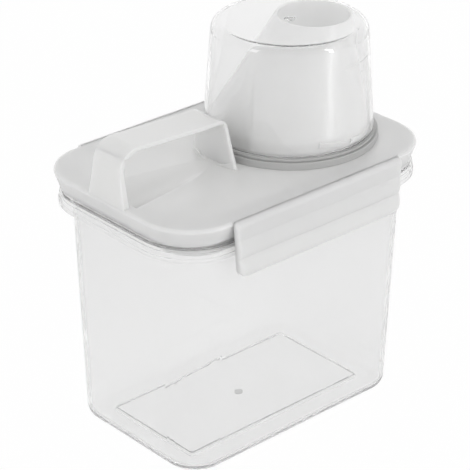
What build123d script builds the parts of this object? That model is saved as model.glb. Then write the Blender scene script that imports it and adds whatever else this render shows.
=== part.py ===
from build123d import *
import os

# Lidded tub for laundry pods: a clear drafted container, a white lid with a strap handle and
# a slanted pouring spout, a clear measuring cup upside down over the spout, and two long
# side latches. X runs along the lid towards the spout, Y across it, Z up, and the origin is
# the middle of the container's foot. Lengths are in millimetres and angles in degrees.

# Container body, outside sizes at the foot and at the top of the rim
foot_length = 157.0
foot_width = 101.0
foot_corner = 19.5
mouth_length = 166.8
mouth_width = 110.4
mouth_corner = 23.7
rim_top = 142.3
wall = 2.2
floor_wall = 2.6
foot_edge = 5.8
cavity_edge = 4.0

# Raised middle of the container's floor, with the mould's gate mark below it
panel_end_margin = 14.9
panel_side_margin = 17.65
panel_corner = 3.0
panel_rise = 1.0
gate_radius = 2.4
gate_height = 0.5

# Rim around the container's mouth: a flange with a stepped lip turned down
rim_end_reach = 8.75
rim_side_reach = 5.9
rim_corner = 32.2
rim_depth = 8.9
lip_wall = 1.8
flange_wall = 2.0
lip_edge = 0.8
rim_step = 0.45
rim_level_shares = (0, 0.3, 0.63, 0.875, 1)

# Lid plate, which stands a little proud of the rim, and its skirt
lid_end_overhang = 0.35
lid_side_overhang = 0.7
handle_end_corner = 29.0
spout_end_corner = 31.5
lid_height = 10.5
skirt_draft = 3.0
lid_wall = 2.2
lid_band = 1.8
skirt_wall = 1.8
lid_edge = 1.6
seat_gap = 0.3

# Plug wall under the lid and the soft gasket in its groove
plug_clearance = 1.6
plug_wall = 1.4
plug_depth = 18.0
groove_height = 4.6
groove_drop = 11.0
groove_rib = 1.0
rib_clearance = 0.6
gasket_wall = 0.7
gasket_lip = 0.9
gasket_play = 0.1

# Neck and slanted pouring spout, which just clears the cup's side and base
neck_end_margin = 6.6
neck_radius = 43.2
neck_height = 12.9
spout_radius = 21.1
spout_side_gap = 1.5
spout_top_gap = 0.7
neck_wall = 2.0
spout_wall = 1.5
neck_blend = 8.0
mouth_edge = 0.5

# Two broken threads on the neck, inside the cup, each of a high and a low lug
lug_height = 2.8
lug_depth = 1.0
lug_corner = 0.4
high_lug_rise = 9.5
low_lug_rise = 7.8
high_lug_arc = 22.0
low_lug_arc = 32.0
high_lug_angle = -101.0
low_lug_angle = -69.0
high_lug_tilt = 8.5
low_lug_tilt = 3.0
thread_starts = 2

# Soft seal around the neck, a little wider than the cup that stands on it
seal_ledge = 1.1
seal_foot_ledge = 1.3
seal_height = 5.6
seal_step_share = 0.7
seal_groove = 0.5
seal_play = 0.1
seal_edge = 0.4

# Measuring cup, upside down
cup_play = 0.8
cup_draft = 4.5
cup_height = 60.3
cup_wall = 1.8
cup_edge = 5.4
cup_lip_edge = 0.5
cup_seat_gap = 0.3
cup_gate_radius = 3.2
cup_gate_depth = 0.5
cup_gate_pin = 1.3

# Strap handle, from the lid's short edge to the side of the cup
handle_thickness = 2.4
handle_half_width = 11.1
handle_middle_half_width = 11.8
handle_foot_half_width = 15.2
cup_leg_half_width = 17.8
cup_leg_middle_half_width = 13.3
handle_rise = 30.3
handle_fall = 2.5
handle_lean = 1.7
handle_inset = 0.4
handle_root = 4.4
handle_bend = 12.0
cup_leg_bend = 6.5
cup_leg_gap = 8.2
shoulder_drop = 5.5
shoulder_blend = 12.0
strap_level = 8.0
handle_edge = 0.8

# Finger trough in the lid under the handle
trough_depth = 5.5
trough_half_width = 17.0
trough_end = 4.8
trough_edge_share = 5 / 67

# Side latches, hinged along the lid's long edges
hinge_gap = 0.3
flap_end_margin = 32.5
flap_taper = 2.5
flap_height = 31.6
flap_reach = 3.5
flap_wall = 2.0
flap_play = 0.3
flap_corner = 5.0
flap_edge = 1.8
flap_top_edge = 3.2
rib_bulge = 0.7
grip_bulge = 1.4
rib_top_share = 0.32
grip_top_share = 0.64
hook_end_margin = 14.0
hook_reach = 2.5
hook_height = 2.2
hook_play = 0.3

# How far cuts run past the faces that they open, and how near an edge must lie to be picked
overrun = 1.0
pick_margin = 0.3

# Sizes that follow from the ones above
panel_length = foot_length - 2 * panel_end_margin
panel_width = foot_width - 2 * panel_side_margin
rim_length = mouth_length + 2 * rim_end_reach
rim_width = mouth_width + 2 * rim_side_reach
lid_length = rim_length + 2 * lid_end_overhang
lid_width = rim_width + 2 * lid_side_overhang
cup_radius = neck_radius + lug_depth + cup_play + cup_wall
cup_base_radius = cup_radius - cup_draft
seal_top_radius = cup_radius + seal_ledge
seal_radius = seal_top_radius + seal_foot_ledge
flap_length = lid_length - 2 * flap_end_margin
flap_foot_length = flap_length - 2 * flap_taper
hook_length = flap_length - 2 * hook_end_margin

# Heights and places that follow from the sizes
rim_underside = rim_top - rim_depth
skirt_bottom = rim_top + seat_gap
lid_top = skirt_bottom + lid_height
plate_underside = lid_top - lid_wall
plug_bottom = plate_underside - plug_depth
groove_top = plate_underside - groove_drop
groove_bottom = groove_top - groove_height
seal_top = lid_top + seal_height
cup_rim = seal_top + cup_seat_gap
cup_top = cup_rim + cup_height
neck_top = lid_top + neck_height
mouth_top = cup_top - cup_wall - spout_top_gap
neck_x = lid_length / 2 - neck_end_margin - seal_radius
neck_axis = Axis((neck_x, 0, 0), (0, 0, 1))
spout_x = neck_x + cup_base_radius - cup_wall - spout_side_gap - spout_radius
hinge_line = lid_width / 2


def rounded(length, width, corner, height):
    """A rounded rectangle on a level plane."""
    with BuildSketch(Plane.XY.offset(height)) as outline:
        RectangleRounded(length, width, corner)
    return outline.sketch


def body_outline(height, inset):
    """The drafted body's outline at a height, moved inwards by an inset."""
    share = height / rim_top
    length = foot_length + (mouth_length - foot_length) * share - 2 * inset
    width = foot_width + (mouth_width - foot_width) * share - 2 * inset
    corner = foot_corner + (mouth_corner - foot_corner) * share - inset
    return rounded(length, width, corner, height)


def lid_outline(height, inset):
    """The lid's outline, tighter at the handle end, moved inwards by an inset."""
    with BuildSketch(Plane.XY.offset(height)) as outline:
        Rectangle(lid_length - 2 * inset, lid_width - 2 * inset)
        fillet(outline.vertices().group_by(Axis.X)[0], handle_end_corner - inset)
        fillet(outline.vertices().group_by(Axis.X)[-1], spout_end_corner - inset)
    return outline.sketch


def skirt_inset(height):
    """How far the skirt's outside has drawn in at a height."""
    return skirt_draft * (lid_top - lid_band - height) / (lid_height - lid_band)


def tapered(outline, bottom, top, bottom_inset, top_inset):
    """A solid between two heights of one family of outlines."""
    with BuildPart() as form:
        loft([outline(bottom, bottom_inset), outline(top, top_inset)])
    return form.part


# Container: the rim is made first, then the drafted body, and the cavity opens both
with BuildPart() as cavity:
    loft([body_outline(floor_wall, wall), body_outline(rim_top + overrun, wall)])
    fillet(cavity.edges().group_by(Axis.Z)[0], cavity_edge)

with BuildPart() as container:
    for level, low_share in enumerate(rim_level_shares[:-1]):
        high_share = rim_level_shares[level + 1]
        step = rim_step * level
        extrude(
            rounded(rim_length - 2 * step, rim_width - 2 * step, rim_corner - step,
                    rim_underside + rim_depth * low_share),
            amount=rim_depth * (high_share - low_share),
        )
    fillet(container.edges().group_by(Axis.Z)[0], lip_edge)
    extrude(
        rounded(rim_length - 2 * lip_wall, rim_width - 2 * lip_wall, rim_corner - lip_wall,
                rim_underside),
        amount=rim_depth - flange_wall,
        mode=Mode.SUBTRACT,
    )
    loft([body_outline(0, 0), body_outline(rim_top, 0)])
    fillet(container.edges().group_by(Axis.Z)[0], foot_edge)
    add(cavity.part, mode=Mode.SUBTRACT)
    extrude(rounded(panel_length, panel_width, panel_corner, 0), amount=panel_rise,
            mode=Mode.SUBTRACT)
    extrude(
        rounded(panel_length - 2 * panel_rise, panel_width - 2 * panel_rise,
                panel_corner - panel_rise, floor_wall - panel_rise),
        amount=2 * panel_rise,
    )
    with BuildSketch(Plane.XY.offset(panel_rise - gate_height)):
        Circle(gate_radius)
    extrude(amount=gate_height)
container.part.label = "container"


# Strap of the handle: a thin band with its left leg thickened towards the root
handle_left = -lid_length / 2 + handle_inset
cup_leg_radius = seal_radius + cup_leg_gap - handle_thickness
strap_join_x = neck_x - cup_leg_radius - handle_thickness - cup_leg_bend
strap_top_left = lid_top + handle_rise
strap_top_right = strap_top_left - handle_fall
leg_middle = (lid_top + strap_top_right) / 2

with BuildPart() as strap:
    with BuildSketch(Plane.XZ):
        with BuildLine():
            outer = FilletPolyline(
                (strap_join_x, strap_top_right),
                (strap_join_x - strap_level, strap_top_right),
                (handle_left + handle_lean, strap_top_left),
                (handle_left, plate_underside),
                radius=(strap_level, handle_bend),
            )
            inner = FilletPolyline(
                (strap_join_x, strap_top_right - handle_thickness),
                (strap_join_x - strap_level, strap_top_right - handle_thickness),
                (handle_left + handle_lean + handle_thickness, strap_top_left - handle_thickness),
                (handle_left + handle_root, plate_underside),
                radius=(strap_level, handle_bend - handle_thickness),
            )
            Line(outer @ 0, inner @ 0)
            Line(outer @ 1, inner @ 1)
        make_face()
    extrude(amount=handle_foot_half_width, both=True)
    with BuildSketch(Plane.YZ.offset(handle_left - overrun)):
        with BuildLine():
            foot = Line((-handle_foot_half_width, plate_underside),
                        (handle_foot_half_width, plate_underside))
            right = ThreePointArc(
                foot @ 1,
                (handle_middle_half_width, leg_middle),
                (handle_half_width, strap_top_right - shoulder_drop),
            )
            left = ThreePointArc(
                foot @ 0,
                (-handle_middle_half_width, leg_middle),
                (-handle_half_width, strap_top_right - shoulder_drop),
            )
            Polyline(
                right @ 1,
                (handle_half_width, strap_top_left),
                (-handle_half_width, strap_top_left),
                left @ 1,
            )
        make_face()
    extrude(amount=lid_length / 2, mode=Mode.INTERSECT)

# Leg beside the cup: part of a ring about the neck's axis, flared towards its foot
with BuildPart() as cup_leg:
    with BuildSketch(Plane.XZ):
        with BuildLine():
            outer = FilletPolyline(
                (neck_x - cup_leg_radius, plate_underside),
                (neck_x - cup_leg_radius, strap_top_right),
                (strap_join_x - handle_thickness, strap_top_right),
                radius=cup_leg_bend,
            )
            inner = FilletPolyline(
                (neck_x - cup_leg_radius - handle_thickness, plate_underside),
                (neck_x - cup_leg_radius - handle_thickness, strap_top_right - handle_thickness),
                (strap_join_x - handle_thickness, strap_top_right - handle_thickness),
                radius=cup_leg_bend - handle_thickness,
            )
            Line(outer @ 0, inner @ 0)
            Line(outer @ 1, inner @ 1)
        make_face()
    revolve(axis=neck_axis, revolution_arc=360)
    with BuildSketch(Plane.YZ.offset(strap_join_x - 2 * handle_thickness)) as front:
        with BuildLine():
            foot = Line((-cup_leg_half_width, plate_underside), (cup_leg_half_width, plate_underside))
            right = ThreePointArc(
                foot @ 1,
                (cup_leg_middle_half_width, leg_middle),
                (handle_half_width, strap_top_right - shoulder_drop),
            )
            left = ThreePointArc(
                foot @ 0,
                (-cup_leg_middle_half_width, leg_middle),
                (-handle_half_width, strap_top_right - shoulder_drop),
            )
            Polyline(
                right @ 1,
                (handle_half_width, strap_top_right),
                (-handle_half_width, strap_top_right),
                left @ 1,
            )
        make_face()
        fillet(front.vertices().group_by(Axis.Y)[1], shoulder_blend)
    extrude(amount=cup_leg_radius, mode=Mode.INTERSECT)

# Whole handle, with its long edges rounded
with BuildPart() as handle:
    add(strap.part)
    add(cup_leg.part)
    long_edges = handle.edges().filter_by(
        lambda edge: abs(edge.center().Y) > handle_half_width - handle_edge
        and edge.center().Z > plate_underside + overrun
    )
    fillet(long_edges, handle_edge)


# Trough under the handle: a tilted round valley that runs out at the leg beside the cup
trough_radius = (trough_half_width**2 + trough_depth**2) / (2 * trough_depth)
trough_left = handle_left + trough_end - handle_inset
trough_right = neck_x - cup_leg_radius - handle_thickness
trough_run = trough_right - trough_left
trough_edge = trough_edge_share * trough_run
trough_plane = Plane(
    origin=(trough_left, 0, lid_top - trough_depth + trough_radius),
    x_dir=(0, 1, 0),
    z_dir=(trough_run, 0, trough_depth),
)


def trough(radius, reach, top):
    """The round valley's core with a given radius, started further left, up to a height."""
    with BuildPart() as form:
        with BuildSketch(trough_plane.offset(-reach)):
            Circle(radius)
        extrude(amount=trough_run + reach)
        with BuildSketch(Plane.XY.offset(top)):
            Rectangle(lid_length, lid_width)
        extrude(amount=-2 * trough_radius, mode=Mode.INTERSECT)
    return form.part


# Lid: skirt and plate, plug wall, trough, handle, neck and spout
with BuildPart() as lid:
    add(tapered(lid_outline, skirt_bottom, lid_top - lid_band, skirt_draft, 0))
    extrude(lid_outline(lid_top - lid_band, 0), amount=lid_band)
    fillet(lid.edges().group_by(Axis.Z)[-1], lid_edge)
    add(
        tapered(lid_outline, skirt_bottom - overrun, plate_underside,
                skirt_inset(skirt_bottom - overrun) + skirt_wall,
                skirt_inset(plate_underside) + skirt_wall),
        mode=Mode.SUBTRACT,
    )
    with BuildSketch(Plane.XY.offset(plate_underside)):
        Rectangle(flap_length, lid_width - hinge_gap)
    extrude(amount=lid_wall)
    add(tapered(body_outline, plug_bottom, plate_underside,
                wall + plug_clearance, wall + plug_clearance))
    for rib_bottom in (groove_bottom - groove_rib, groove_top):
        extrude(body_outline(rib_bottom, wall + rib_clearance), amount=groove_rib)
    add(
        tapered(body_outline, plug_bottom - overrun, plate_underside,
                wall + plug_clearance + plug_wall, wall + plug_clearance + plug_wall),
        mode=Mode.SUBTRACT,
    )
    add(trough(trough_radius + lid_wall, skirt_wall, plate_underside + lid_wall / 2))
    add(handle.part)
    add(trough(trough_radius, 0, strap_top_right - handle_thickness), mode=Mode.SUBTRACT)
    trough_sides = lid.edges().filter_by_position(Axis.Z, lid_top, lid_top).filter_by(
        lambda edge: trough_half_width / 2 < abs(edge.center().Y) < trough_half_width
        and edge.length > trough_run / 2)
    fillet(trough_sides, trough_edge)
    with BuildSketch(Plane.XY.offset(plate_underside)):
        with Locations((neck_x, 0)):
            Circle(neck_radius)
    extrude(amount=neck_top - plate_underside)
    with BuildSketch(Plane.XY.offset(neck_top)):
        with Locations((neck_x, 0)):
            Circle(neck_radius)
    with BuildSketch(Plane.XY.offset(mouth_top)):
        with Locations((spout_x, 0)):
            Circle(spout_radius)
    loft()
    neck_crease = lid.edges().filter_by_position(
        Axis.Z, neck_top - pick_margin, neck_top + pick_margin).sort_by(Edge.length)[-1]
    fillet(neck_crease, neck_blend)
    with BuildSketch(Plane.XY.offset(plate_underside - overrun)):
        with Locations((neck_x, 0)):
            Circle(neck_radius - neck_wall)
    extrude(amount=neck_top - plate_underside + overrun, mode=Mode.SUBTRACT)
    with BuildSketch(Plane.XY.offset(neck_top)):
        with Locations((neck_x, 0)):
            Circle(neck_radius - neck_wall)
    with BuildSketch(Plane.XY.offset(mouth_top)):
        with Locations((spout_x, 0)):
            Circle(spout_radius - spout_wall)
    loft(mode=Mode.SUBTRACT)
    fillet(lid.edges().group_by(Axis.Z)[-1], mouth_edge)
    for middle_angle, rise, arc, tilt in (
        (high_lug_angle, high_lug_rise, high_lug_arc, high_lug_tilt),
        (low_lug_angle, low_lug_rise, low_lug_arc, low_lug_tilt),
    ):
        for start in range(thread_starts):
            radial = Vector(1, 0, 0).rotate(Axis.Z, middle_angle + start * 360 / thread_starts)
            lug_up = Vector(0, 0, 1).rotate(Axis((0, 0, 0), radial), -tilt)
            lug_centre = (neck_x, 0, lid_top + rise)
            lug_start = radial.rotate(Axis((0, 0, 0), lug_up), -arc / 2)
            lug_plane = Plane(origin=lug_centre, x_dir=lug_start, z_dir=lug_start.cross(lug_up))
            with BuildSketch(lug_plane):
                with Locations((neck_radius, 0)):
                    RectangleRounded(2 * lug_depth, lug_height, lug_corner)
            revolve(axis=Axis(lug_centre, lug_up), revolution_arc=arc)
lid.part.label = "lid"


# Gasket in the plug's groove: a thin band with two soft lips towards the container's wall
with BuildPart() as lid_gasket:
    band_bottom = groove_bottom + gasket_play
    band_height = groove_height - 2 * gasket_play
    inner_inset = wall + plug_clearance - gasket_play
    extrude(body_outline(band_bottom, inner_inset - gasket_wall), amount=band_height)
    for lip_bottom in (band_bottom, band_bottom + band_height - gasket_lip):
        extrude(body_outline(lip_bottom, wall + gasket_play), amount=gasket_lip)
    add(
        tapered(body_outline, groove_bottom - overrun, groove_top + overrun,
                inner_inset, inner_inset),
        mode=Mode.SUBTRACT,
    )
lid_gasket.part.label = "lid_gasket"


# Seal around the neck: a broad foot and a narrower top with a fine groove between them
with BuildPart() as neck_seal:
    with BuildSketch(Plane.XZ) as section:
        seal_step = lid_top + seal_height * seal_step_share
        with BuildLine():
            Polyline(
                (neck_x + neck_radius + seal_play, lid_top),
                (neck_x + seal_radius, lid_top),
                (neck_x + seal_radius, seal_step),
                (neck_x + seal_top_radius - seal_groove, seal_step),
                (neck_x + seal_top_radius - seal_groove, seal_step + seal_groove),
                (neck_x + seal_top_radius, seal_step + seal_groove),
                (neck_x + seal_top_radius, seal_top),
                (neck_x + neck_radius + seal_play, seal_top),
                close=True,
            )
        make_face()
        fillet(section.vertices().group_by(Axis.X)[-1].sort_by(Axis.Y)[-1:], seal_edge)
    revolve(axis=neck_axis)
neck_seal.part.label = "neck_seal"


# Measuring cup: a drafted wall, a rounded base and the dimple of the mould's gate
with BuildPart() as measuring_cup:
    with BuildSketch(Plane.XY.offset(cup_rim)):
        with Locations((neck_x, 0)):
            Circle(cup_radius)
    with BuildSketch(Plane.XY.offset(cup_top)):
        with Locations((neck_x, 0)):
            Circle(cup_base_radius)
    loft()
    fillet(measuring_cup.edges().group_by(Axis.Z)[-1], cup_edge)
    offset(amount=-cup_wall, openings=measuring_cup.faces().sort_by(Axis.Z)[0])
    fillet(measuring_cup.edges().group_by(Axis.Z)[0], cup_lip_edge)
    with BuildSketch(Plane.XY.offset(cup_top - cup_gate_depth)):
        with Locations((neck_x, 0)):
            Circle(cup_gate_radius)
            Circle(cup_gate_pin, mode=Mode.SUBTRACT)
    extrude(amount=cup_gate_depth, mode=Mode.SUBTRACT)
measuring_cup.part.label = "measuring_cup"


# Latch on the far long side: a panel with a ribbed face, a grip at its foot and a hook
panel_inside = hinge_line + flap_play
panel_outside = hinge_line + flap_reach
flap_bottom = lid_top - flap_height
rib_top = lid_top - flap_height * rib_top_share
grip_top = lid_top - flap_height * grip_top_share

with BuildPart() as rear_flap:
    with BuildSketch(Plane.YZ) as section:
        with BuildLine():
            Polyline(
                (panel_inside, flap_bottom),
                (panel_inside, plate_underside),
                (hinge_line + hinge_gap / 2, plate_underside),
                (hinge_line + hinge_gap / 2, lid_top),
                (panel_outside, lid_top),
                (panel_outside, rib_top),
            )
            ThreePointArc(
                (panel_outside, rib_top),
                (panel_outside + rib_bulge, (rib_top + grip_top) / 2),
                (panel_outside, grip_top),
            )
            ThreePointArc(
                (panel_outside, grip_top),
                (panel_outside + grip_bulge, (grip_top + flap_bottom) / 2),
                (panel_outside, flap_bottom),
            )
            Line((panel_outside, flap_bottom), (panel_inside, flap_bottom))
        make_face()
    extrude(amount=flap_length / 2, both=True)
    with BuildSketch(Plane.XZ.offset(-hinge_line)) as front:
        with BuildLine():
            Polyline(
                (-flap_length / 2, lid_top),
                (flap_length / 2, lid_top),
                (flap_foot_length / 2, flap_bottom),
                (-flap_foot_length / 2, flap_bottom),
                close=True,
            )
        make_face()
        fillet(front.vertices().group_by(Axis.Y)[0], flap_corner)
    extrude(amount=-2 * flap_reach, mode=Mode.INTERSECT)
    top_edge = rear_flap.edges().filter_by_position(
        Axis.Z, lid_top, lid_top).sort_by(Axis.Y)[-1]
    fillet(top_edge, flap_top_edge)
    end_edges = rear_flap.edges().filter_by(
        lambda edge: edge.center().Y > panel_outside - flap_top_edge
        and abs(edge.center().X) > flap_foot_length / 2 - flap_corner
        and edge.center().Z < lid_top - pick_margin
    )
    fillet(end_edges, flap_edge)
    with BuildSketch(Plane.XZ.offset(-hinge_line)) as pocket:
        with BuildLine():
            Polyline(
                (-flap_length / 2 + flap_wall, plate_underside),
                (flap_length / 2 - flap_wall, plate_underside),
                (flap_foot_length / 2 - flap_wall, flap_bottom + flap_wall),
                (-flap_foot_length / 2 + flap_wall, flap_bottom + flap_wall),
                close=True,
            )
        make_face()
        fillet(pocket.vertices().group_by(Axis.Y)[0], flap_corner - flap_wall)
    extrude(amount=-(flap_reach - flap_wall), mode=Mode.SUBTRACT)
    with BuildSketch(Plane.XY.offset(rim_underside - hook_play - hook_height)):
        with Locations((0, rim_width / 2 - hook_reach)):
            Rectangle(hook_length, panel_outside - flap_wall / 2 - rim_width / 2 + hook_reach,
                      align=(Align.CENTER, Align.MIN))
    extrude(amount=hook_height)
rear_flap.part.label = "rear_flap"

# Latch on the near long side: the same panel the other way round
with BuildPart() as front_flap:
    mirror(rear_flap.part, about=Plane.XZ)
front_flap.part.label = "front_flap"


os.makedirs("parts", exist_ok=True)
export_step(container.part, "parts/container.step")
export_step(lid.part, "parts/lid.step")
export_step(lid_gasket.part, "parts/lid_gasket.step")
export_step(neck_seal.part, "parts/neck_seal.step")
export_step(measuring_cup.part, "parts/measuring_cup.step")
export_step(rear_flap.part, "parts/rear_flap.step")
export_step(front_flap.part, "parts/front_flap.step")
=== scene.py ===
# %% [markdown]
# A laundry pod tub, dressed for its photograph.
#
# The tub is a clear drafted container with a white lid. The lid carries a strap handle, a
# slanted pouring spout and a clear measuring cup turned over it, and a white latch hangs on
# each long side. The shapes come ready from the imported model, so this lesson is about what
# Blender adds: moulded plastic that looks moulded, clear walls that bend light, a seal of soft
# silicone, the hinge webs, the cup's raised scale, the floor's gate mark, and the light of a
# bright studio. All lengths are in metres.

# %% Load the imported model
from math import cos, radians, sin

import bmesh
import bpy
from mathutils import Matrix, Vector


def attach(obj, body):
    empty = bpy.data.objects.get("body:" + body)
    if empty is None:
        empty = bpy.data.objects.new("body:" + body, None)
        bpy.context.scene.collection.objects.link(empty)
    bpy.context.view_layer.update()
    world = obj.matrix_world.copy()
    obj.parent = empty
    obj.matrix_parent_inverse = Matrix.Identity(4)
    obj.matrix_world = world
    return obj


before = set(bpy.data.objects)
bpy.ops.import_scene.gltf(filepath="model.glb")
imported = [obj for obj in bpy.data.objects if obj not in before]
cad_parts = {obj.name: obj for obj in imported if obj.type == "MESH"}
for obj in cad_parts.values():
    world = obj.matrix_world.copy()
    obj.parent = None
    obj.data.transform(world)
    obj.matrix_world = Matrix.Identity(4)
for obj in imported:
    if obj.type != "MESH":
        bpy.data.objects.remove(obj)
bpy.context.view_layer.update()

scene = bpy.context.scene
print("nodes", sorted(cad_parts))

# %% [markdown]
# Every finish below is a small net of shader nodes, so two helpers keep the cells short. The
# first makes an empty material with its output. The second adds a node, sets its sockets by
# name and wires what it is given. Nodes read Object coordinates: each mesh keeps its place in
# its own vertices, so a pattern stays put on the piece when a latch turns.

# %% Helpers for shader nodes
def empty_material(name):
    """A material with nothing but its output node."""
    material = bpy.data.materials.new(name)
    material.use_nodes = True
    material.node_tree.nodes.clear()
    return material, material.node_tree, material.node_tree.nodes.new("ShaderNodeOutputMaterial")


def add_node(tree, kind, settings=None, **sockets):
    """A shader node: settings are its own options, sockets are values or outputs to wire in."""
    made = tree.nodes.new("ShaderNode" + kind)
    for option, value in (settings or {}).items():
        setattr(made, option, value)
    for title, value in sockets.items():
        socket = made.inputs[title.replace("_", " ")]
        if isinstance(value, bpy.types.NodeSocket):
            tree.links.new(value, socket)
        else:
            socket.default_value = value
    return made


def spots(tree, size, detail=2.0):
    """Soft blotches about one size across, as a value from 0 to 1."""
    place = add_node(tree, "TexCoord")
    noise = add_node(tree, "TexNoise", Vector=place.outputs["Object"],
                     Scale=1 / size, Detail=detail)
    return noise.outputs["Fac"]


def between(tree, value, low, high):
    """The middle of a noise value, stretched so that it runs from low to high."""
    spread = add_node(tree, "MapRange", {"interpolation_type": "SMOOTHSTEP"},
                      Value=value, To_Min=low, To_Max=high)
    spread.inputs["From Min"].default_value = 0.2
    spread.inputs["From Max"].default_value = 0.8
    return spread.outputs["Result"]


print("helpers ready")

# %% [markdown]
# The lid and the latches are polypropylene, moulded in a steel tool with a fine satin grain.
# Such plastic is milky: light wanders some millimetres through it, so the thin strap, the spout
# and the latches glow a little from behind, and the shader is all subsurface. The gloss is
# uneven at two scales: broad, from how the plastic filled the tool, and fine, from the tool's
# grain, which the bump repeats.

# %% White moulded plastic
WHITE = (0.8, 0.8, 0.795, 1.0)
MILKY_DEPTH = (0.0045, 0.0045, 0.0044)
FLOW_SIZE = 0.03
GRAIN_SIZE = 0.0006
GRAIN_DEPTH = 0.00005
DULLER_WHITE = 0.99


def white_plastic(name, low_gloss, high_gloss, grain):
    """White polypropylene whose roughness runs between two values."""
    material, tree, output = empty_material(name)
    flow = spots(tree, FLOW_SIZE)
    tint = add_node(tree, "Mix", {"data_type": "RGBA"})
    tree.links.new(between(tree, flow, 0.0, 1.0), tint.inputs["Factor"])
    tint.inputs[6].default_value = WHITE
    tint.inputs[7].default_value = tuple(DULLER_WHITE * part for part in WHITE[:3]) + (1.0,)
    bump = add_node(tree, "Bump", Height=spots(tree, GRAIN_SIZE),
                    Strength=grain, Distance=GRAIN_DEPTH)
    shader = add_node(
        tree, "BsdfPrincipled",
        Base_Color=tint.outputs[2],
        Roughness=between(tree, flow, low_gloss, high_gloss),
        Normal=bump.outputs["Normal"],
    )
    shader.inputs["Subsurface Weight"].default_value = 1.0
    shader.inputs["Subsurface Radius"].default_value = MILKY_DEPTH
    shader.inputs["Subsurface Scale"].default_value = 1.0
    tree.links.new(shader.outputs["BSDF"], output.inputs["Surface"])
    print("white plastic", name)
    return material


LID_FINISH = white_plastic("lid_plastic", 0.2, 0.26, 0.25)
LATCH_FINISH = white_plastic("latch_plastic", 0.32, 0.4, 0.35)

# %% [markdown]
# The container and the cup are clear styrene copolymer with a real wall thickness, so an
# ordinary glass-like shader bends the light by itself at every corner, step and rounded edge.
# The walls are not optical glass: they have a faint milky veil and slow waves from cooling.
# Light from lamps goes straight through by a Transparent shader that only shadow rays meet,
# which keeps the inside and the floor under the tub bright.

# %% Clear plastic
CONTAINER_TINT = (0.962, 0.962, 0.962, 1.0)
CUP_TINT = (0.995, 0.995, 0.995, 1.0)
SHADOW_TINT = (0.97, 0.97, 0.97, 1.0)
WAVE_SIZE = 0.022
WAVE_STRENGTH = 0.06
WAVE_DEPTH = 0.0004


def clear_plastic(name, tint, bend, clarity, low_gloss, high_gloss, coat=0.5):
    """Clear rigid plastic. Clarity is the share of light that passes rather than scatters."""
    material, tree, output = empty_material(name)
    flow = spots(tree, WAVE_SIZE, detail=1.0)
    waves = add_node(tree, "Bump", Height=flow, Strength=WAVE_STRENGTH, Distance=WAVE_DEPTH)
    shader = add_node(
        tree, "BsdfPrincipled",
        Roughness=between(tree, flow, low_gloss, high_gloss),
        Normal=waves.outputs["Normal"],
    )
    shader.inputs["Base Color"].default_value = tint
    shader.inputs["IOR"].default_value = bend
    shader.inputs["Coat Weight"].default_value = coat
    shader.inputs["Coat Roughness"].default_value = 0.02
    shader.inputs["Transmission Weight"].default_value = clarity
    lamp_light = add_node(tree, "BsdfTransparent", Color=SHADOW_TINT)
    rays = add_node(tree, "LightPath")
    mixed = add_node(tree, "MixShader")
    tree.links.new(rays.outputs["Is Shadow Ray"], mixed.inputs[0])
    tree.links.new(shader.outputs["BSDF"], mixed.inputs[1])
    tree.links.new(lamp_light.outputs["BSDF"], mixed.inputs[2])
    tree.links.new(mixed.outputs["Shader"], output.inputs["Surface"])
    print("clear plastic", name)
    return material


CONTAINER_FINISH = clear_plastic("container_plastic", CONTAINER_TINT, 1.3, 0.92, 0.015, 0.035)
CUP_FINISH = clear_plastic("cup_plastic", CUP_TINT, 1.38, 0.985, 0.01, 0.025, coat=0.9)

# %% [markdown]
# The ring around the neck and the gasket under the lid are silicone: dull, and a little
# see-through at their edges. The gasket is pale grey. The ring's mid grey is partly painted
# shade, standing in for the shadow in the gap under the clear cup's rim. A higher subsurface
# weight and a rough surface say that they are soft, and a fine bump stands for the dust-dry feel
# of moulded silicone.

# %% Soft silicone
# Neck ring grey: partly the ring's own colour, partly painted shade from the gap under the cup.
SEAL_GREY_PAINTED_SHADE = (0.5, 0.5, 0.495, 1.0)
GASKET_WHITE = (0.88, 0.88, 0.875, 1.0)
SILICONE_GRAIN = 0.2
SILICONE_GLOSS = (0.42, 0.55)


def silicone(name, colour):
    """Silicone rubber of the given colour; the neck ring's grey is partly painted shade."""
    material, tree, output = empty_material(name)
    bump = add_node(tree, "Bump", Height=spots(tree, GRAIN_SIZE),
                    Strength=SILICONE_GRAIN, Distance=GRAIN_DEPTH)
    shader = add_node(
        tree, "BsdfPrincipled",
        Base_Color=colour,
        Roughness=between(tree, spots(tree, FLOW_SIZE), *SILICONE_GLOSS),
        Normal=bump.outputs["Normal"],
    )
    shader.inputs["Subsurface Weight"].default_value = 0.3
    shader.inputs["Subsurface Radius"].default_value = (0.002, 0.002, 0.002)
    shader.inputs["Subsurface Scale"].default_value = 1.0
    tree.links.new(shader.outputs["BSDF"], output.inputs["Surface"])
    print("silicone", name)
    return material


SEAL_FINISH = silicone("seal_silicone_painted_shade", SEAL_GREY_PAINTED_SHADE)
GASKET_FINISH = silicone("gasket_silicone", GASKET_WHITE)

# %% [markdown]
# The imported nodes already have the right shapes, so each one keeps its mesh and only changes
# the material in its slots.

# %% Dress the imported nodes
FINISHES = {
    "container": CONTAINER_FINISH,
    "measuring_cup": CUP_FINISH,
    "lid": LID_FINISH,
    "front_flap": LATCH_FINISH,
    "rear_flap": LATCH_FINISH,
    "neck_seal": SEAL_FINISH,
    "lid_gasket": GASKET_FINISH,
}
for node_name, finish in FINISHES.items():
    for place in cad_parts[node_name].material_slots:
        place.material = finish
    print(node_name, "gets", finish.name)

# %% [markdown]
# Each latch really hangs on a thin web of the lid's own plastic. The model leaves a narrow gap
# there so that the latch can turn, and a slim strip fills it just below the top, so that no dark
# line shows between the lid and the latch. It stays with the lid.

# %% Hinge webs
WEB_LENGTH = 0.119
WEB_INNER = 0.06166
WEB_OUTER = 0.06194
WEB_TOP = 0.153
WEB_DEPTH = 0.001


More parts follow.
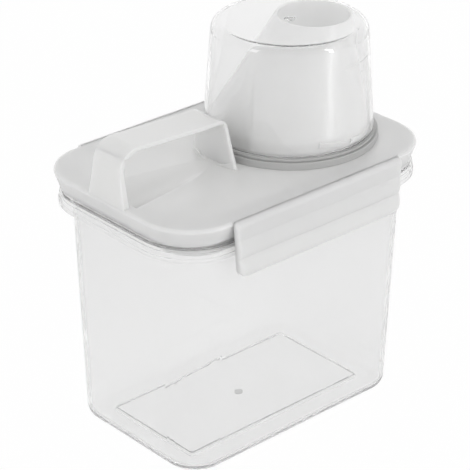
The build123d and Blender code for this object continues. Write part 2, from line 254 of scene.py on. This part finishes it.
def box_mesh(name, low, high):
    """A plain block between two corners."""
    shape = bmesh.new()
    middle = [(near + far) / 2 for near, far in zip(low, high)]
    size = [far - near for near, far in zip(low, high)]
    bmesh.ops.create_cube(shape, size=1.0)
    bmesh.ops.scale(shape, verts=shape.verts, vec=size)
    bmesh.ops.translate(shape, verts=shape.verts, vec=middle)
    mesh = bpy.data.meshes.new(name)
    shape.to_mesh(mesh)
    shape.free()
    return mesh


for side, name in ((-1, "front_hinge_web"), (1, "rear_hinge_web")):
    edges = sorted((side * WEB_INNER, side * WEB_OUTER))
    web_mesh = box_mesh(name, (-WEB_LENGTH / 2, edges[0], WEB_TOP - WEB_DEPTH),
                        (WEB_LENGTH / 2, edges[1], WEB_TOP))
    web_mesh.materials.append(LID_FINISH)
    web = bpy.data.objects.new(name, web_mesh)
    scene.collection.objects.link(web)
    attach(web, "tub")
    print(name, len(web_mesh.polygons), "faces")

# %% [markdown]
# The cup has a faint raised scale on its outside: one long level line with a short one above
# and below it, upside down with the cup. Each is a thin bar with a small square end, which a
# spin sweeps round the cup's axis, and it is frosted so that it shows without colour.

# %% Scale on the cup
CUP_AXIS_X = 0.0367
CUP_RIM_Z = 0.159
CUP_RIM_RADIUS = 0.0468
CUP_TAPER = 0.0045 / 0.0603
BAR_HEIGHT = 0.0004
BAR_RISE = 0.00015
SKIN_GAP = 0.00001
SCALE_BARS = ((0.2042, -92, -60), (0.2148, -76, -73), (0.1985, -74, -71))
SCALE_FINISH = clear_plastic("scale_frosted", (0.9, 0.9, 0.9, 1.0), 1.3, 0.55, 0.4, 0.5)


def cup_spot(height, turn, out):
    """A point on the cup's outside at a height and a turn in degrees, moved outwards."""
    radius = CUP_RIM_RADIUS - CUP_TAPER * (height - CUP_RIM_Z) + out
    return Vector((CUP_AXIS_X + radius * cos(radians(turn)), radius * sin(radians(turn)), height))


bars = bmesh.new()
for height, first, last in SCALE_BARS:
    corners = ((-0.5, SKIN_GAP), (0.5, SKIN_GAP), (0.5, BAR_RISE), (-0.5, BAR_RISE))
    end = bars.faces.new([bars.verts.new(cup_spot(height + share * BAR_HEIGHT, first, out))
                          for share, out in corners])
    bmesh.ops.spin(bars, geom=[end, *end.edges, *end.verts],
                   cent=(CUP_AXIS_X, 0, 0), axis=(0, 0, 1),
                   angle=radians(last - first), steps=max(2, last - first), use_duplicate=False)
bmesh.ops.recalc_face_normals(bars, faces=bars.faces)
scale_mesh = bpy.data.meshes.new("cup_scale")
bars.to_mesh(scale_mesh)
bars.free()
scale_mesh.materials.append(SCALE_FINISH)
scale = bpy.data.objects.new("cup_scale", scale_mesh)
scene.collection.objects.link(scale)
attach(scale, "cup")
print("cup scale", len(scale_mesh.polygons), "faces")

# %% [markdown]
# The mould fed the container through a gate in the middle of its floor, which leaves a small
# dimple under the raised panel that shows as a small dull grey spot by how it bends light. In a
# clear part such a step hardly shows here, so a thin frosted grey disc lies under it as painted
# shade: a circle, pulled down by a tenth of a millimetre.

# %% Gate mark
GATE_RADIUS = 0.0024
GATE_Z = 0.0005
GATE_THICKNESS = 0.0001
# The disc's grey is painted shade for the dark spot the gate dimple makes by bending light.
GATE_PAINTED_SHADE_FINISH = clear_plastic("gate_painted_shade", (0.5, 0.5, 0.5, 1.0), 1.3, 0.4, 0.4, 0.5)

disc = bmesh.new()
bmesh.ops.create_circle(disc, cap_ends=True, radius=GATE_RADIUS, segments=48)
bmesh.ops.translate(disc, verts=disc.verts, vec=(0, 0, GATE_Z - SKIN_GAP))
pulled = bmesh.ops.extrude_face_region(disc, geom=disc.faces[:], use_keep_orig=True)
lower = [part for part in pulled["geom"] if isinstance(part, bmesh.types.BMVert)]
bmesh.ops.translate(disc, verts=lower, vec=(0, 0, -GATE_THICKNESS))
bmesh.ops.recalc_face_normals(disc, faces=disc.faces)
gate_mesh = bpy.data.meshes.new("gate_mark")
disc.to_mesh(gate_mesh)
disc.free()
gate_mesh.materials.append(GATE_PAINTED_SHADE_FINISH)
gate = bpy.data.objects.new("gate_mark", gate_mesh)
scene.collection.objects.link(gate)
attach(gate, "tub")
print("gate mark", len(gate_mesh.polygons), "faces")

# %% [markdown]
# The photograph has a pure white ground with hardly a shadow, but the floor looks greyer through
# the tub's clear walls. A large pale floor catches the soft light. Where the camera sees it
# straight, almost all its brightness is a plain white glow of strength one, and where clear or
# glossy plastic shows it, half of it is. The rest is real light on a pale surface, so the tub's
# shadow still shows where it stands.

# %% Floor
FLOOR_SIZE = 12.0
FLOOR_DROP = 0.0002
SEEN_GLOW_SHARE = 0.98
SHOWN_GLOW_SHARE = 0.5


def floor_material():
    """Pale floor that reads as white ground and keeps a faint shadow."""
    material, tree, output = empty_material("floor_white")
    lit = add_node(tree, "BsdfDiffuse", Color=(0.92, 0.92, 0.92, 1.0))
    glow = add_node(tree, "Emission", Color=(1.0, 1.0, 1.0, 1.0), Strength=1.0)
    rays = add_node(tree, "LightPath")
    shown = add_node(tree, "Math", {"operation": "MAXIMUM"})
    tree.links.new(rays.outputs["Is Transmission Ray"], shown.inputs[0])
    tree.links.new(rays.outputs["Is Glossy Ray"], shown.inputs[1])
    shown_share = add_node(tree, "Math", {"operation": "MULTIPLY"})
    tree.links.new(shown.outputs[0], shown_share.inputs[0])
    shown_share.inputs[1].default_value = SHOWN_GLOW_SHARE
    share = add_node(tree, "Math", {"operation": "MULTIPLY_ADD"})
    tree.links.new(rays.outputs["Is Camera Ray"], share.inputs[0])
    share.inputs[1].default_value = SEEN_GLOW_SHARE
    tree.links.new(shown_share.outputs[0], share.inputs[2])
    mixed = add_node(tree, "MixShader")
    tree.links.new(share.outputs[0], mixed.inputs[0])
    tree.links.new(lit.outputs["BSDF"], mixed.inputs[1])
    tree.links.new(glow.outputs["Emission"], mixed.inputs[2])
    tree.links.new(mixed.outputs["Shader"], output.inputs["Surface"])
    return material


floor_mesh = bpy.data.meshes.new("floor")
sheet = bmesh.new()
bmesh.ops.create_grid(sheet, x_segments=1, y_segments=1, size=FLOOR_SIZE / 2)
bmesh.ops.translate(sheet, verts=sheet.verts, vec=(0, 0, -FLOOR_DROP))
sheet.to_mesh(floor_mesh)
sheet.free()
floor = bpy.data.objects.new("floor", floor_mesh)
scene.collection.objects.link(floor)
floor_mesh.materials.append(floor_material())
print("floor", FLOOR_SIZE, "m wide")

# %% [markdown]
# The bright streak down the spout tells where the lamps stand. Mirroring the camera's direction
# about the spout's normal there puts a tall narrow softbox in front, to the right of the lens.
# The brighter faces at the left ask for a large softbox on that side. The room is pale grey with
# brighter sides and a darker top, because clear plastic only shows its edges against something
# darker than the ground, and what the tub's walls show of it is a fixed pale grey.

# %% World and softboxes
ROOM_LIGHT = 0.42
ROOM_OVERHEAD = -0.22
ROOM_SIDES = {
    "left": ((-1.0, 0.0, 0.0), 0.55),
    "front": ((0.0, -1.0, 0.0), 0.5),
    "behind": ((0.67, 0.74, 0.0), 0.8),
}
ROOM_SHOWN = 0.77


def room():
    """A room with brighter sides, and white where the camera sees it straight."""
    world = bpy.data.worlds.new("room")
    world.use_nodes = True
    tree = world.node_tree
    tree.nodes.clear()
    output = tree.nodes.new("ShaderNodeOutputWorld")
    place = add_node(tree, "TexCoord")
    parts = add_node(tree, "SeparateXYZ", Vector=place.outputs["Generated"])
    height = add_node(tree, "MapRange", Value=parts.outputs["Z"],
                      To_Min=ROOM_LIGHT, To_Max=ROOM_LIGHT + ROOM_OVERHEAD)
    strength = height.outputs["Result"]
    for way, gain in ROOM_SIDES.values():
        towards = add_node(tree, "VectorMath", {"operation": "DOT_PRODUCT"})
        tree.links.new(place.outputs["Generated"], towards.inputs[0])
        towards.inputs[1].default_value = way
        facing = add_node(tree, "Math", {"operation": "MAXIMUM"})
        tree.links.new(towards.outputs["Value"], facing.inputs[0])
        facing.inputs[1].default_value = 0.0
        gained = add_node(tree, "Math", {"operation": "MULTIPLY_ADD"})
        tree.links.new(facing.outputs[0], gained.inputs[0])
        gained.inputs[1].default_value = gain
        tree.links.new(strength, gained.inputs[2])
        strength = gained.outputs[0]
    grey = add_node(tree, "Background", Color=(1.0, 1.0, 1.0, 1.0), Strength=strength)
    pale = add_node(tree, "Background", Color=(1.0, 1.0, 1.0, 1.0), Strength=ROOM_SHOWN)
    white = add_node(tree, "Background", Color=(1.0, 1.0, 1.0, 1.0), Strength=1.0)
    rays = add_node(tree, "LightPath")
    shown = add_node(tree, "MixShader")
    tree.links.new(rays.outputs["Is Transmission Ray"], shown.inputs[0])
    tree.links.new(grey.outputs["Background"], shown.inputs[1])
    tree.links.new(pale.outputs["Background"], shown.inputs[2])
    seen = add_node(tree, "MixShader")
    tree.links.new(rays.outputs["Is Camera Ray"], seen.inputs[0])
    tree.links.new(shown.outputs["Shader"], seen.inputs[1])
    tree.links.new(white.outputs["Background"], seen.inputs[2])
    tree.links.new(seen.outputs["Shader"], output.inputs["Surface"])
    return world


scene.world = room()

MIDDLE = Vector((0.0, 0.0, 0.1))


def softbox(name, azimuth, elevation, reach, width, height, power):
    """A rectangular lamp that faces the tub from a compass direction."""
    lamp = bpy.data.lights.new(name, "AREA")
    lamp.shape = "RECTANGLE"
    lamp.size = width
    lamp.size_y = height
    lamp.energy = power
    body = bpy.data.objects.new(name, lamp)
    flat = cos(radians(elevation))
    way = Vector((cos(radians(azimuth)) * flat, sin(radians(azimuth)) * flat,
                  sin(radians(elevation))))
    body.location = MIDDLE + way * reach
    body.rotation_euler = (-way).to_track_quat("-Z", "Y").to_euler()
    scene.collection.objects.link(body)
    print(name, [round(part, 2) for part in body.location])
    return body


softbox("front_strip", azimuth=-71, elevation=22, reach=1.6, width=0.16, height=1.3, power=4.5)
softbox("left_box", azimuth=173, elevation=24, reach=1.6, width=0.4, height=1.0, power=2.0)
softbox("overhead", azimuth=60, elevation=78, reach=1.8, width=1.2, height=1.2, power=2.5)

# %% [markdown]
# The camera was found by fitting the tub's own edges to the photograph: it stands a bit over a
# metre away, at the near corner, and looks down at the lid with a long lens. Its place is given
# by a compass angle, a height angle and a distance from the point that it looks at.

# %% Camera
CAMERA_AZIMUTH = -42.23
CAMERA_ELEVATION = 27.18
CAMERA_REACH = 1.1295
CAMERA_ROLL = 0.23
LENS = 157.87
LOOK_AT = Vector((-0.0039, 0.0, 0.10324))
AIM = Vector((-0.00302, -0.00071, 0.10336))

turn = radians(CAMERA_AZIMUTH)
rise = radians(CAMERA_ELEVATION)
back = Vector((sin(turn) * cos(rise), -cos(turn) * cos(rise), sin(rise)))
lens = bpy.data.cameras.new("camera")
lens.lens = LENS
lens.sensor_width = 36.0
camera = bpy.data.objects.new("camera", lens)
scene.collection.objects.link(camera)
place = LOOK_AT + back * CAMERA_REACH
facing = (AIM - place).to_track_quat("-Z", "Y").to_matrix()
facing = facing @ Matrix.Rotation(radians(CAMERA_ROLL), 3, "Z")
camera.matrix_world = Matrix.Translation(place) @ facing.to_4x4()
scene.camera = camera
print("camera at", [round(part, 3) for part in place])

# %% [markdown]
# The standard view transform shows colours as they are written, which suits a bright, nearly
# white object. A ray crosses many clear walls here, so it may bounce often before it stops.

# %% Finish
scene.view_settings.view_transform = "Standard"
scene.cycles.max_bounces = 32
scene.cycles.glossy_bounces = 24
scene.cycles.transmission_bounces = 32
scene.cycles.transparent_max_bounces = 24
